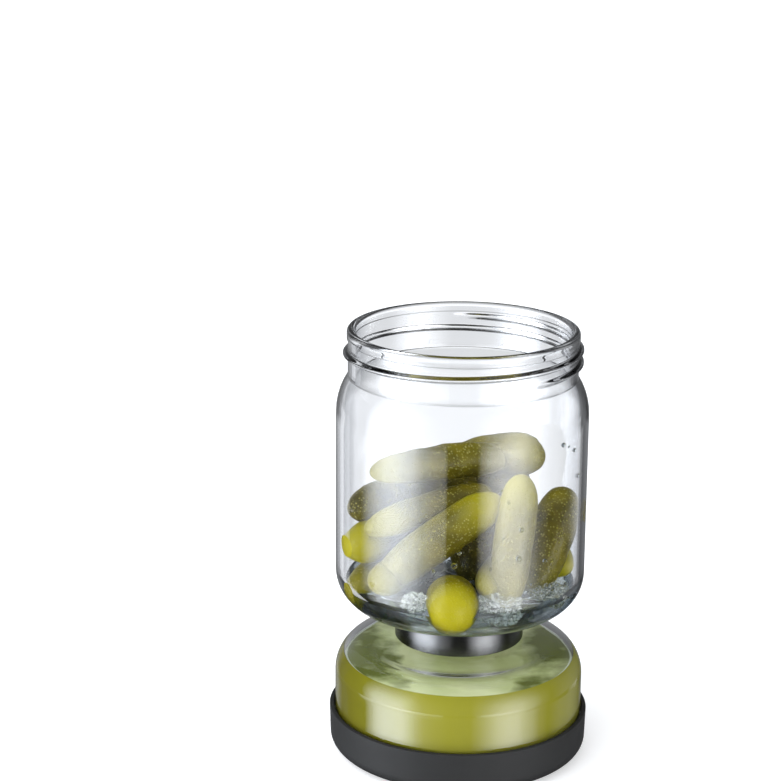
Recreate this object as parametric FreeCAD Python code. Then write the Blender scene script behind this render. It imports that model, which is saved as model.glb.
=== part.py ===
"""Pickle keeper with a lift strainer, in millimetres.

Two glass jars stand one on the other, joined at their narrow necks by a screwed coupling. A strainer
that lifts out sits in the upper jar's floor, and a screwed cap closes the lower jar and is the foot.
The axis is Z, and Z = 0 is the face that the keeper stands on. Every thread is right-handed.
"""

import FreeCAD, Part
import math
import os

# ---- glass ----
JAR_RADIUS = 50.0  # upper jar's body
LOWER_FULLNESS = 0.2  # the lower jar's body is wider by this much
GLASS = 3.0
FLOOR_GLASS = 4.0  # upper jar's floor
CROWN_GLASS = 3.5  # lower jar's top
UPPER_HEIGHT = 114.4  # upper jar, underside to lip
HEEL_ROUND = 15.0  # upper jar's bottom corner
SHOULDER_DROP = 26.1  # lip to the corner between body and shoulder
SHOULDER_RISE = 7.1  # from that corner up to the wide neck
SHOULDER_ROUND = 26.0
LOWER_BODY = 31.1  # lower jar's side, from its heel to the corner at its top
CROWN_RISE = 1.4  # the lower jar's top climbs by this much towards its neck
CROWN_ROUND = 14.0
SOFTENING = 1.0  # rounding of small moulded corners

# ---- wide mouth, the same on both jars ----
MOUTH_STEP = 4.6  # the wide neck is narrower than the body by this much
MOUTH_PITCH = 5.0
MOUTH_RIDGE = 1.9
MOUTH_LAND = 4.6  # lip to the top of the thread
MOUTH_THREAD_DEPTH = 10.1
MOUTH_THREAD_ANGLE = -56.0  # where the thread's lower end is, from +X
LIP_BEAD = 0.4  # the lip stands proud of the wide neck by this much
LIP_BEAD_DEPTH = 4.4
LIP_ROUND = 1.6
LOWER_NECK_DEPTH = 9.4  # lower jar's wide neck, rim to heel

# ---- narrow necks and the coupling between them ----
BORE = 18.0
NECK_WALL = 2.4
NECK_DEPTH = 5.5
NECK_PITCH = 2.5
NECK_RIDGE = 1.2
GASKET = 1.0
SHELF = 1.0  # the coupling's inner shelf, between the two neck gaskets
CORE_WALL = 3.0
BAND_WALL = 0.8
BAND_ROUND = 0.5
BAND_GAP = 0.5  # band to the glass above and below
CORE_RECESS = 0.3  # the core stops this far inside the band

# ---- threads and clearances ----
RIDGE_ROOT = 0.24  # half of a ridge's foot, as a share of its pitch
RIDGE_CREST = 0.12  # half of its crest
RIDGE_BURIED = 0.4  # a ridge is rooted this deep in its wall
THREAD_RUNOUT = 0.5  # a ridge stops this far from the end of its wall
THREAD_GAP = 0.5  # a thread's crest to the wall facing it
SLIP_GAP = 0.4  # a moving piece beside a fixed one
SEAT_GAP = 0.1  # two pieces of one assembly

# ---- lift strainer ----
SHEET = 0.8
FLANGE_LAP = 4.0  # the flange laps the jar's floor by this much
PAN_DEPTH = 3.0
PAN_TAPER = 1.5
HOLE_RADIUS = 1.0
HOLE_WEB = 1.3  # metal between neighbouring holes
SEAL_FIT = 0.3  # the seal's collar in the jar's bore
SEAL_WALL = 1.3
SEAL_LENGTH = 5.0
SEAL_WASHER = 0.6
KNOB_FOOT = 3.4
KNOB_STEM = 2.0
KNOB_RADIUS = 4.5
KNOB_CAP = 2.4
KNOB_HEIGHT = 7.5

# ---- base cap ----
CAP_HEIGHT = 18.0  # table to the cap's top edge
CAP_WALL = 1.9
CAP_FLOOR = 2.0
CAP_DRAFT = 0.5  # the cap is narrower at its foot by this much
CAP_ROUND = 5.5
EDGE_ROUND = 0.5
LINER_FLOOR = 1.4
BASE_GASKET = 1.4
FOOT_STAND = 0.8  # the foot ring stands proud of the cap by this much
FOOT_GROOVE = 0.6
FOOT_WIDTH = 4.5
FOOT_MARGIN = 1.0  # foot ring to the cap's rounded edge

# ---- heights that follow, from the table up ----
LINER_BOTTOM = FOOT_STAND + CAP_FLOOR
BASE_GASKET_BOTTOM = LINER_BOTTOM + LINER_FLOOR
LOWER_RIM = BASE_GASKET_BOTTOM + BASE_GASKET
LOWER_HEEL = LOWER_RIM + LOWER_NECK_DEPTH
LINER_TOP = LOWER_HEEL - SLIP_GAP
LOWER_TOP = LOWER_HEEL + LOWER_BODY
NECK_FOOT = LOWER_TOP + CROWN_RISE
LOWER_NECK_TOP = NECK_FOOT + NECK_DEPTH
SHELF_BOTTOM = LOWER_NECK_TOP + GASKET
SHELF_TOP = SHELF_BOTTOM + SHELF
UPPER_NECK_END = SHELF_TOP + GASKET
UPPER_UNDERSIDE = UPPER_NECK_END + NECK_DEPTH
BAND_BOTTOM = NECK_FOOT + BAND_GAP
BAND_TOP = UPPER_UNDERSIDE - BAND_GAP
CORE_BOTTOM = BAND_BOTTOM + CORE_RECESS
CORE_TOP = BAND_TOP - CORE_RECESS
UPPER_FLOOR = UPPER_UNDERSIDE + FLOOR_GLASS
FLANGE_BOTTOM = UPPER_FLOOR + SEAL_WASHER
PAN_FLOOR = FLANGE_BOTTOM - PAN_DEPTH + SHEET
LIP = UPPER_UNDERSIDE + UPPER_HEIGHT
SHOULDER = LIP - SHOULDER_DROP
NECK_LINE = SHOULDER + SHOULDER_RISE
MOUTH_THREAD_TOP = LIP - MOUTH_LAND

# ---- radii that follow ----
LOWER_RADIUS = JAR_RADIUS + LOWER_FULLNESS
MOUTH_RADIUS = JAR_RADIUS - MOUTH_STEP
MOUTH_BORE = MOUTH_RADIUS - GLASS
NECK_RADIUS = BORE + NECK_WALL
CORE_BORE = NECK_RADIUS + NECK_RIDGE + THREAD_GAP
CORE_RADIUS = CORE_BORE + CORE_WALL
BAND_BORE = CORE_RADIUS + SEAT_GAP
FLANGE_RADIUS = BORE + FLANGE_LAP
SEAL_RADIUS = BORE - SEAL_FIT
SEAL_BORE = SEAL_RADIUS - SEAL_WALL
PAN_RADIUS = SEAL_BORE - SEAT_GAP
LINER_BORE = MOUTH_RADIUS + MOUTH_RIDGE + THREAD_GAP
CAP_BORE = LOWER_RADIUS + SLIP_GAP
LINER_RADIUS = CAP_BORE - SEAT_GAP
CAP_RADIUS = CAP_BORE + CAP_WALL
CAP_FOOT_RADIUS = CAP_RADIUS - CAP_DRAFT
FOOT_RADIUS = CAP_FOOT_RADIUS - CAP_ROUND - FOOT_MARGIN

ORIGIN = FreeCAD.Vector(0, 0, 0)
AXIS = FreeCAD.Vector(0, 0, 1)


def rounded_wire(corners):
    """Closed outline in the XZ plane through (radius, height, rounding) corners.

    Roundings are cut back where a side is too short for the ones at its two ends.
    """
    count = len(corners)
    points = [FreeCAD.Vector(radius, 0, height) for radius, height, _ in corners]
    sides = [(points[(i + 1) % count] - points[i]) for i in range(count)]
    halves = [(-sides[i - 1]).getAngle(sides[i]) / 2 for i in range(count)]
    reach = [corners[i][2] / math.tan(halves[i]) for i in range(count)]
    room = [sides[i].Length / max(reach[i] + reach[(i + 1) % count], 1e-9) for i in range(count)]
    reach = [reach[i] * min(1.0, 0.98 * room[i], 0.98 * room[i - 1]) for i in range(count)]
    edges = []
    for i in range(count):
        leave = points[i] + FreeCAD.Vector(sides[i]).normalize() * reach[i]
        arrive = points[i] - FreeCAD.Vector(sides[i - 1]).normalize() * reach[i]
        if reach[i] > 0:
            inward = (leave + arrive) * 0.5 - points[i]
            radius = reach[i] * math.tan(halves[i])
            middle = points[i] + inward.normalize() * (radius / math.sin(halves[i]) - radius)
            edges.append(Part.Arc(arrive, middle, leave).toShape())
        following = (i + 1) % count
        side_end = points[following] - FreeCAD.Vector(sides[i]).normalize() * reach[following]
        edges.append(Part.LineSegment(leave, side_end).toShape())
    return Part.Wire(edges)


def turned(corners):
    """Solid of revolution about the axis, from an outline of (radius, height, rounding) corners."""
    return Part.Face(rounded_wire(corners)).revolve(ORIGIN, AXIS, 360)


def ring(inner, outer, bottom, top, rounding):
    """Plain ring with its four edges rounded."""
    corners = [(inner, bottom), (outer, bottom), (outer, top), (inner, top)]
    return turned([(radius, height, rounding) for radius, height in corners])


def thread(wall, ridge, pitch, bottom, top, angle):
    """Helical ridge between bottom and top: outwards from the wall for ridge > 0, else inwards.

    angle is where the middle of its lower end is, from +X. Its flanks run straight on into the wall.
    """
    foot, crest = RIDGE_ROOT * pitch, RIDGE_CREST * pitch
    root = wall - math.copysign(RIDGE_BURIED, ridge)
    root_half = foot + (foot - crest) * RIDGE_BURIED / abs(ridge)
    tip = wall + ridge
    outline = [(root, root_half), (tip, crest), (tip, -crest), (root, -root_half), (root, root_half)]
    section = Part.makePolygon([FreeCAD.Vector(radius, 0, height) for radius, height in outline])
    path = Part.Wire(Part.makeHelix(pitch, top - bottom - 2 * foot, wall).Edges)
    solid = path.makePipeShell([section], True, True)
    solid.translate(FreeCAD.Vector(0, 0, bottom + foot))
    solid.rotate(ORIGIN, AXIS, angle)
    return solid


def mouth_thread(wall, ridge):
    """Ridge of the screw between the lower jar's mouth and the cap's liner."""
    bottom = LOWER_RIM + THREAD_RUNOUT
    return thread(wall, ridge, MOUTH_PITCH, bottom, LINER_TOP - THREAD_RUNOUT, start_angle(ridge))


def upper_neck_thread(wall, ridge):
    """Ridge of the screw between the upper jar's neck and the coupling's core."""
    bottom = UPPER_NECK_END + THREAD_RUNOUT
    return thread(wall, ridge, NECK_PITCH, bottom, CORE_TOP - THREAD_RUNOUT, start_angle(ridge))


def lower_neck_thread(wall, ridge):
    """Ridge of the screw between the lower jar's neck and the coupling's core."""
    top = LOWER_NECK_TOP - THREAD_RUNOUT
    return thread(wall, ridge, NECK_PITCH, CORE_BOTTOM + THREAD_RUNOUT, top, start_angle(ridge))


def start_angle(ridge):
    """Glass ridges start on +X and their mates opposite, so that a pair lies half a pitch apart."""
    return 0 if ridge > 0 else 180


def upper_jar():
    """Clear jar with a wide threaded mouth above and a narrow threaded neck below."""
    inner = JAR_RADIUS - GLASS
    glass = turned(
        [
            (BORE, UPPER_NECK_END, SOFTENING / 2),
            (NECK_RADIUS, UPPER_NECK_END, SOFTENING / 2),
            (NECK_RADIUS, UPPER_UNDERSIDE, SOFTENING / 2),
            (JAR_RADIUS, UPPER_UNDERSIDE, HEEL_ROUND),
            (JAR_RADIUS, SHOULDER, SHOULDER_ROUND),
            (MOUTH_RADIUS, NECK_LINE, SOFTENING / 2),
            (MOUTH_RADIUS, LIP - LIP_BEAD_DEPTH, 0),
            (MOUTH_RADIUS + LIP_BEAD, LIP - LIP_BEAD_DEPTH + LIP_BEAD, 0),
            (MOUTH_RADIUS + LIP_BEAD, LIP, LIP_ROUND),
            (MOUTH_BORE, LIP, LIP_ROUND),
            (MOUTH_BORE, NECK_LINE, SOFTENING),
            (inner, SHOULDER, SHOULDER_ROUND - GLASS),
            (inner, UPPER_FLOOR, HEEL_ROUND - GLASS),
            (BORE, UPPER_FLOOR, SOFTENING),
        ]
    )
    thread_bottom = MOUTH_THREAD_TOP - MOUTH_THREAD_DEPTH
    mouth = thread(
        MOUTH_RADIUS, MOUTH_RIDGE, MOUTH_PITCH, thread_bottom, MOUTH_THREAD_TOP, MOUTH_THREAD_ANGLE
    )
    return glass.fuse([mouth, upper_neck_thread(NECK_RADIUS, NECK_RIDGE)])


def lower_jar():
    """Brine chamber: a narrow threaded neck above, a wide threaded mouth below."""
    inner = LOWER_RADIUS - GLASS
    glass = turned(
        [
            (MOUTH_BORE, LOWER_RIM, SOFTENING),
            (MOUTH_RADIUS, LOWER_RIM, SOFTENING),
            (MOUTH_RADIUS, LOWER_HEEL, SOFTENING / 2),
            (LOWER_RADIUS, LOWER_HEEL, SOFTENING),
            (LOWER_RADIUS, LOWER_TOP, CROWN_ROUND),
            (NECK_RADIUS, NECK_FOOT, SOFTENING / 2),
            (NECK_RADIUS, LOWER_NECK_TOP, SOFTENING / 2),
            (BORE, LOWER_NECK_TOP, SOFTENING / 2),
            (BORE, NECK_FOOT - CROWN_GLASS, SOFTENING),
            (inner, LOWER_TOP - CROWN_GLASS, CROWN_ROUND - GLASS),
            (inner, LOWER_HEEL + GLASS, GLASS),
            (MOUTH_BORE, LOWER_HEEL, GLASS),
        ]
    )
    mouth = mouth_thread(MOUTH_RADIUS, MOUTH_RIDGE)
    return glass.fuse([mouth, lower_neck_thread(NECK_RADIUS, NECK_RIDGE)])


def coupling_core():
    """Screwed insert of the waist: both necks screw into it, against gaskets on its shelf."""
    core = turned(
        [
            (CORE_BORE, CORE_BOTTOM, EDGE_ROUND),
            (CORE_RADIUS, CORE_BOTTOM, EDGE_ROUND),
            (CORE_RADIUS, CORE_TOP, EDGE_ROUND),
            (CORE_BORE, CORE_TOP, EDGE_ROUND),
            (CORE_BORE, SHELF_TOP, 0),
            (BORE, SHELF_TOP, 0),
            (BORE, SHELF_BOTTOM, 0),
            (CORE_BORE, SHELF_BOTTOM, 0),
        ]
    )
    upper = upper_neck_thread(CORE_BORE, -NECK_RIDGE)
    return core.fuse([upper, lower_neck_thread(CORE_BORE, -NECK_RIDGE)])


def coupling_band():
    """Polished metal sleeve round the coupling's core."""
    return ring(BAND_BORE, BAND_BORE + BAND_WALL, BAND_BOTTOM, BAND_TOP, BAND_ROUND)


def neck_gasket(bottom):
    """Flat silicone ring under a jar's narrow neck."""
    return ring(BORE, NECK_RADIUS, bottom, bottom + GASKET, GASKET / 4)


def strainer_plate():
    """Pressed steel pan with a flange, its floor pierced with rings of holes."""
    top = FLANGE_BOTTOM + SHEET
    floor_radius = PAN_RADIUS - PAN_TAPER
    bottom = PAN_FLOOR - SHEET
    plate = turned(
        [
            (0, bottom, 0),
            (floor_radius, bottom, SHEET),
            (PAN_RADIUS, FLANGE_BOTTOM, SHEET / 2),
            (FLANGE_RADIUS, FLANGE_BOTTOM, SHEET / 4),
            (FLANGE_RADIUS, top, SHEET / 4),
            (PAN_RADIUS - SHEET, top, SHEET),
            (floor_radius - SHEET, PAN_FLOOR, SHEET / 2),
            (0, PAN_FLOOR, 0),
        ]
    )
    pitch = 2 * HOLE_RADIUS + HOLE_WEB
    first = KNOB_FOOT + HOLE_WEB / 2 + HOLE_RADIUS
    rows = int((floor_radius - SHEET - HOLE_RADIUS - first) / pitch) + 1
    holes = []
    for row in range(rows):
        radius = first + row * pitch
        count = int(2 * math.pi * radius / pitch)
        for i in range(count):
            turn = 2 * math.pi * i / count
            foot = FreeCAD.Vector(radius * math.cos(turn), radius * math.sin(turn), bottom - SHEET)
            holes.append(Part.makeCylinder(HOLE_RADIUS, 3 * SHEET, foot))
    return plate.cut(Part.makeCompound(holes))


def strainer_seal():
    """Silicone collar that grips the jar's bore, with a washer under the plate's flange."""
    bottom = UPPER_FLOOR - SEAL_LENGTH
    washer_radius = FLANGE_RADIUS - SEAT_GAP
    rounding = SEAL_WASHER / 3
    return turned(
        [
            (SEAL_BORE, bottom, rounding),
            (SEAL_RADIUS, bottom, rounding),
            (SEAL_RADIUS, UPPER_FLOOR, 0),
            (washer_radius, UPPER_FLOOR, rounding),
            (washer_radius, FLANGE_BOTTOM, rounding),
            (SEAL_BORE, FLANGE_BOTTOM, SEAL_WALL / 2),
        ]
    )


def strainer_knob():
    """Small turned knob at the plate's middle, by which the strainer is lifted."""
    top = PAN_FLOOR + KNOB_HEIGHT
    return turned(
        [
            (0, PAN_FLOOR, 0),
            (KNOB_FOOT, PAN_FLOOR, 0),
            (KNOB_STEM, PAN_FLOOR + KNOB_FOOT - KNOB_STEM, KNOB_STEM / 2),
            (KNOB_STEM, top - KNOB_CAP, KNOB_STEM / 4),
            (KNOB_RADIUS, top - KNOB_CAP, KNOB_CAP / 3),
            (KNOB_RADIUS, top, KNOB_CAP / 3),
            (0, top, 0),
        ]
    )


def base_cap_shell():
    """Outer cap: a shallow cup with a rounded foot and a groove for the foot ring."""
    groove_inner = FOOT_RADIUS - FOOT_WIDTH - SEAT_GAP
    groove_outer = FOOT_RADIUS + SEAT_GAP
    groove_top = FOOT_STAND + FOOT_GROOVE
    return turned(
        [
            (0, FOOT_STAND, 0),
            (groove_inner, FOOT_STAND, 0),
            (groove_inner, groove_top, 0),
            (groove_outer, groove_top, 0),
            (groove_outer, FOOT_STAND, 0),
            (CAP_FOOT_RADIUS, FOOT_STAND, CAP_ROUND),
            (CAP_RADIUS, CAP_HEIGHT, EDGE_ROUND),
            (CAP_BORE, CAP_HEIGHT, EDGE_ROUND),
            (CAP_BORE, LINER_BOTTOM, CAP_ROUND - CAP_FLOOR),
            (0, LINER_BOTTOM, 0),
        ]
    )


def base_cap_liner():
    """Threaded cup inside the cap, which the lower jar's mouth screws into."""
    cup = turned(
        [
            (0, LINER_BOTTOM, 0),
            (LINER_RADIUS, LINER_BOTTOM, CAP_ROUND - CAP_FLOOR),
            (LINER_RADIUS, LINER_TOP, EDGE_ROUND),
            (LINER_BORE, LINER_TOP, EDGE_ROUND),
            (LINER_BORE, BASE_GASKET_BOTTOM, SOFTENING),
            (0, BASE_GASKET_BOTTOM, 0),
        ]
    )
    return cup.fuse(mouth_thread(LINER_BORE, -MOUTH_RIDGE))


def base_gasket():
    """Silicone ring between the cap's liner and the lower jar's rim."""
    return ring(MOUTH_BORE, MOUTH_RADIUS, BASE_GASKET_BOTTOM, LOWER_RIM, BASE_GASKET / 4)


def foot_ring():
    """Soft ring in the cap's groove that the keeper stands on."""
    top = FOOT_STAND + FOOT_GROOVE
    return ring(FOOT_RADIUS - FOOT_WIDTH, FOOT_RADIUS, 0, top, FOOT_GROOVE / 4)


def main():
    """Writes one STEP file for each piece."""
    pieces = {
        "upper_jar": upper_jar(),
        "lower_jar": lower_jar(),
        "coupling_core": coupling_core(),
        "coupling_band": coupling_band(),
        "upper_neck_gasket": neck_gasket(SHELF_TOP),
        "lower_neck_gasket": neck_gasket(LOWER_NECK_TOP),
        "strainer_plate": strainer_plate(),
        "strainer_seal": strainer_seal(),
        "strainer_knob": strainer_knob(),
        "base_cap_shell": base_cap_shell(),
        "base_cap_liner": base_cap_liner(),
        "base_gasket": base_gasket(),
        "foot_ring": foot_ring(),
    }
    os.makedirs("parts", exist_ok=True)
    for name, shape in pieces.items():
        shape.exportStep(os.path.join("parts", name + ".step"))


main()
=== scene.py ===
"""Glass pickle keeper with a lift strainer: the looks built round its CAD frame, in metres.

From the table up: a dark moulded cap on a soft foot ring, a chamber of brine, a polished waist that both
jars screw into, and a wide-mouthed jar for the gherkins. The axis is Z and Z = 0 is the table.
"""

import logging
import math
from dataclasses import dataclass, field
from enum import Enum
from typing import Mapping, Optional, Sequence, Union

import bpy
import numpy as np
from mathutils import Matrix, Vector, noise


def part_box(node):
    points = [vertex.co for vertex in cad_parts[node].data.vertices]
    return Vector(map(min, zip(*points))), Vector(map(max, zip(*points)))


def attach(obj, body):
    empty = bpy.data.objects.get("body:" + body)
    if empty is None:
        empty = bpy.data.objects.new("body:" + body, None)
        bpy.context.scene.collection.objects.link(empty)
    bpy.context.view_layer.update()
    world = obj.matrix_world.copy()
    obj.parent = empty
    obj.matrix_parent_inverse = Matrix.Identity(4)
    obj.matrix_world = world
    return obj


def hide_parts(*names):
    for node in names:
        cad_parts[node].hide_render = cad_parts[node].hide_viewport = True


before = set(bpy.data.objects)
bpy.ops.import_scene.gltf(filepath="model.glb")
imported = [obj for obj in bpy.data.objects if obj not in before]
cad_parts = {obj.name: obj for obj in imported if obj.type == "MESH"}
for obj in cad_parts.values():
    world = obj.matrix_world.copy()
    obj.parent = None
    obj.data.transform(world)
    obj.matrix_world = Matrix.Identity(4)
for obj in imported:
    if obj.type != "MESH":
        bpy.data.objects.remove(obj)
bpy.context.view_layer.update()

LOG = logging.getLogger("keeper")
MM = 0.001
TOUCH = 0.01 * MM  # How near a point lies to a wall or a level that it counts as on.
SHY = 0.999  # Share of the largest arc that a corner has room for.

Value = Union[float, Sequence[float], bpy.types.NodeSocket]


# ---------------------------------------------------------------------------------------------------
# Turning outlines into glass, metal and plastic
# ---------------------------------------------------------------------------------------------------


@dataclass(frozen=True)
class Corner:
    """A corner of an outline that is turned about the axis.

    Args:
        radius: Distance from the axis.
        height: Height above the table.
        rounding: Radius of the arc that rounds the corner.
        rows: Rows of faces on the straight run that leaves the corner.
    """

    radius: float
    height: float
    rounding: float = 0.0
    rows: int = 1

    @property
    def place(self) -> Vector:
        """The corner in the outline's plane."""
        return Vector((self.radius, 0.0, self.height))


Leg = tuple[Corner, Vector, Optional[Vector], float]


@dataclass
class Lathe:
    """Draws an outline by extruding its runs and spinning its arcs, then spins it about the axis.

    Args:
        name: Name of the finished piece.
        corners: The outline's corners, the solid on the left of each run.
        closed: True for a ring, False for an outline that starts and ends on the axis.
        facets: Flat sides of the finished round.
        arc_step: Angle of one step of an arc.
        join: Distance within which points become one.
    """

    name: str
    corners: Sequence[Corner]
    closed: bool = True
    facets: int = 192
    arc_step: float = math.radians(6)
    join: float = 0.0005 * MM

    def turned(self) -> bpy.types.Object:
        """Makes the piece.

        Returns:
            The turned piece, smooth shaded, with its normals outwards.
        """
        legs = self._legs()
        self._start_at(legs[-1][1] if self.closed else self.corners[0].place)
        for (rows, vector), (_, _, centre, turn) in zip(self._runs(legs), legs):
            self._extrude(rows, vector)
            if abs(turn) > 1e-6 and centre is not None:
                self._arc(centre, turn)
        bpy.ops.mesh.select_all(action="SELECT")
        bpy.ops.mesh.remove_doubles(threshold=self.join)
        bpy.ops.mesh.spin(steps=self.facets, angle=math.tau, center=(0, 0, 0), axis=(0, 0, 1))
        bpy.ops.mesh.select_all(action="SELECT")
        bpy.ops.mesh.remove_doubles(threshold=self.join)
        bpy.ops.mesh.normals_make_consistent(inside=False)
        bpy.ops.object.mode_set(mode="OBJECT")
        piece = bpy.context.object
        piece.name = piece.data.name = self.name
        shade_smooth(piece)
        return piece

    def _legs(self) -> list[Leg]:
        """Works out the arc at each corner.

        Returns:
            For each corner: the corner, where the outline leaves it, its arc's centre and its turn.
        """
        count = len(self.corners)
        legs: list[Leg] = []
        for i in range(count):
            corner, following = self.corners[i], self.corners[(i + 1) % count]
            before = self.corners[i - 1]
            arrive = (corner.place - before.place).normalized()
            depart = (following.place - corner.place).normalized()
            turn = math.atan2(arrive.x * depart.z - arrive.z * depart.x, arrive.dot(depart))
            ends = not self.closed and i in (0, count - 1)
            if ends or corner.rounding <= 0:
                legs.append((corner, corner.place, None, 0.0))
                continue
            reach = corner.rounding * math.tan(abs(turn) / 2)
            side = Vector((-arrive.z, 0.0, arrive.x)) * math.copysign(corner.rounding, turn)
            centre = corner.place - arrive * reach + side
            legs.append((corner, corner.place + depart * reach, centre, turn))
        return legs

    def _runs(self, legs: Sequence[Leg]) -> list[tuple[int, Vector]]:
        """Lists the straight runs, each up to the arc at its end.

        Args:
            legs: The arcs at the corners.

        Returns:
            For each corner: the rows of the run that ends there, and its vector.
        """
        runs = []
        for i, (corner, _, _, turn) in enumerate(legs):
            before, left, _, _ = legs[i - 1]
            start = left if (self.closed or i) else corner.place
            reach = corner.rounding * math.tan(abs(turn) / 2)
            arrive = (corner.place - before.place).normalized()
            runs.append((before.rows, corner.place - arrive * reach - start))
        return runs

    def _start_at(self, place: Vector) -> None:
        """Adds a small plane and merges it to the outline's first point.

        Args:
            place: Where the outline starts.
        """
        deselect_all()
        bpy.ops.mesh.primitive_plane_add(size=MM, location=place)
        bpy.ops.object.transform_apply(location=True, rotation=True, scale=True)
        bpy.ops.object.mode_set(mode="EDIT")
        bpy.ops.mesh.select_mode(type="VERT")
        bpy.ops.mesh.select_all(action="SELECT")
        bpy.ops.mesh.merge(type="CENTER")

    def _extrude(self, rows: int, vector: Vector) -> None:
        """Extrudes the outline's end along a run.

        Args:
            rows: Equal steps of the run.
            vector: The whole run.
        """
        if vector.length < self.join:
            return
        for _ in range(rows):
            bpy.ops.mesh.extrude_region_move(TRANSFORM_OT_translate={"value": vector / rows})

    def _arc(self, centre: Vector, turn: float) -> None:
        """Spins the outline's end round a corner's centre."""
        steps = max(2, round(abs(turn) / self.arc_step))
        bpy.ops.mesh.spin(steps=steps, angle=turn, center=centre, axis=(0, 1, 0))


@dataclass(frozen=True)
class Ridge:
    """The ridge of a right-handed screw on a round wall whose rows are fine enough to carry it.

    Args:
        wall: Radius of the wall.
        rise: How far the ridge stands out.
        pitch: Rise of one turn.
        bottom: Lowest point of the ridge.
        top: Highest point of the ridge.
        start: Angle from +X of its lower end, in degrees.
        foot_share: Half of its foot, as a share of the pitch.
        crest_share: Half of its crest, as a share of the pitch.
        run_in: Angle over which each end rises to the full height.
    """

    wall: float
    rise: float
    pitch: float
    bottom: float
    top: float
    start: float = 0.0
    foot_share: float = 0.24
    crest_share: float = 0.12
    run_in: float = math.radians(9)

    def raise_on(self, piece: bpy.types.Object) -> None:
        """Moves the wall's points out along the ridge.

        Args:
            piece: The turned piece that the wall belongs to.
        """
        places = read_points(piece)
        radius = np.hypot(places[:, 0], places[:, 1])
        near = np.abs(radius - self.wall) < TOUCH
        near &= (places[:, 2] > self.bottom - TOUCH) & (places[:, 2] < self.top + TOUCH)
        angle = np.arctan2(places[:, 1], places[:, 0]) - math.radians(self.start)
        out = self.height_at(np.mod(angle[near], math.tau), places[near, 2])
        places[near, :2] *= ((radius[near] + out) / radius[near])[:, None]
        write_points(piece, places)

    def height_at(self, angle: np.ndarray, height: np.ndarray) -> np.ndarray:
        """Gives the ridge's height over the wall.

        Args:
            angle: Angles from the ridge's lower end, from 0 to one turn.
            height: Heights above the table.

        Returns:
            The ridge's height at each place.
        """
        foot, crest = self.foot_share * self.pitch, self.crest_share * self.pitch
        whole = math.tau * (self.top - self.bottom - 2 * foot) / self.pitch
        out = np.zeros_like(height)
        for turn in range(int(whole / math.tau) + 1):
            along = angle + turn * math.tau
            middle = self.bottom + foot + self.pitch * along / math.tau
            flank = smooth((foot - np.abs(height - middle)) / (foot - crest))
            ends = smooth(along / self.run_in) * smooth((whole - along) / self.run_in)
            out = np.maximum(out, self.rise * flank * ends)
        return out


def smooth(share: np.ndarray) -> np.ndarray:
    """Eases a share from 0 to 1, and holds it there outside."""
    share = np.clip(share, 0.0, 1.0)
    return share * share * (3 - 2 * share)


def read_points(piece: bpy.types.Object) -> np.ndarray:
    """Reads a piece's points.

    Args:
        piece: The piece.

    Returns:
        Its points as rows of x, y and z.
    """
    places = np.zeros(len(piece.data.vertices) * 3)
    piece.data.vertices.foreach_get("co", places)
    return places.reshape(-1, 3)


def write_points(piece: bpy.types.Object, places: np.ndarray) -> None:
    """Puts a piece's points at the given places."""
    piece.data.vertices.foreach_set("co", places.ravel())
    piece.data.update()


def deselect_all() -> None:
    """Leaves nothing selected and no object in edit mode."""
    if bpy.context.object and bpy.context.object.mode != "OBJECT":
        bpy.ops.object.mode_set(mode="OBJECT")
    bpy.ops.object.select_all(action="DESELECT")


def shade_smooth(piece: bpy.types.Object, angle: float = math.radians(40)) -> None:
    """Shades a piece smooth.

    Args:
        piece: The piece.
        angle: Edges that turn further than this stay sharp.
    """
    deselect_all()
    piece.select_set(True)
    bpy.context.view_layer.objects.active = piece
    bpy.ops.object.shade_smooth_by_angle(angle=angle)


# ---------------------------------------------------------------------------------------------------
# Finishes
# ---------------------------------------------------------------------------------------------------


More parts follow.
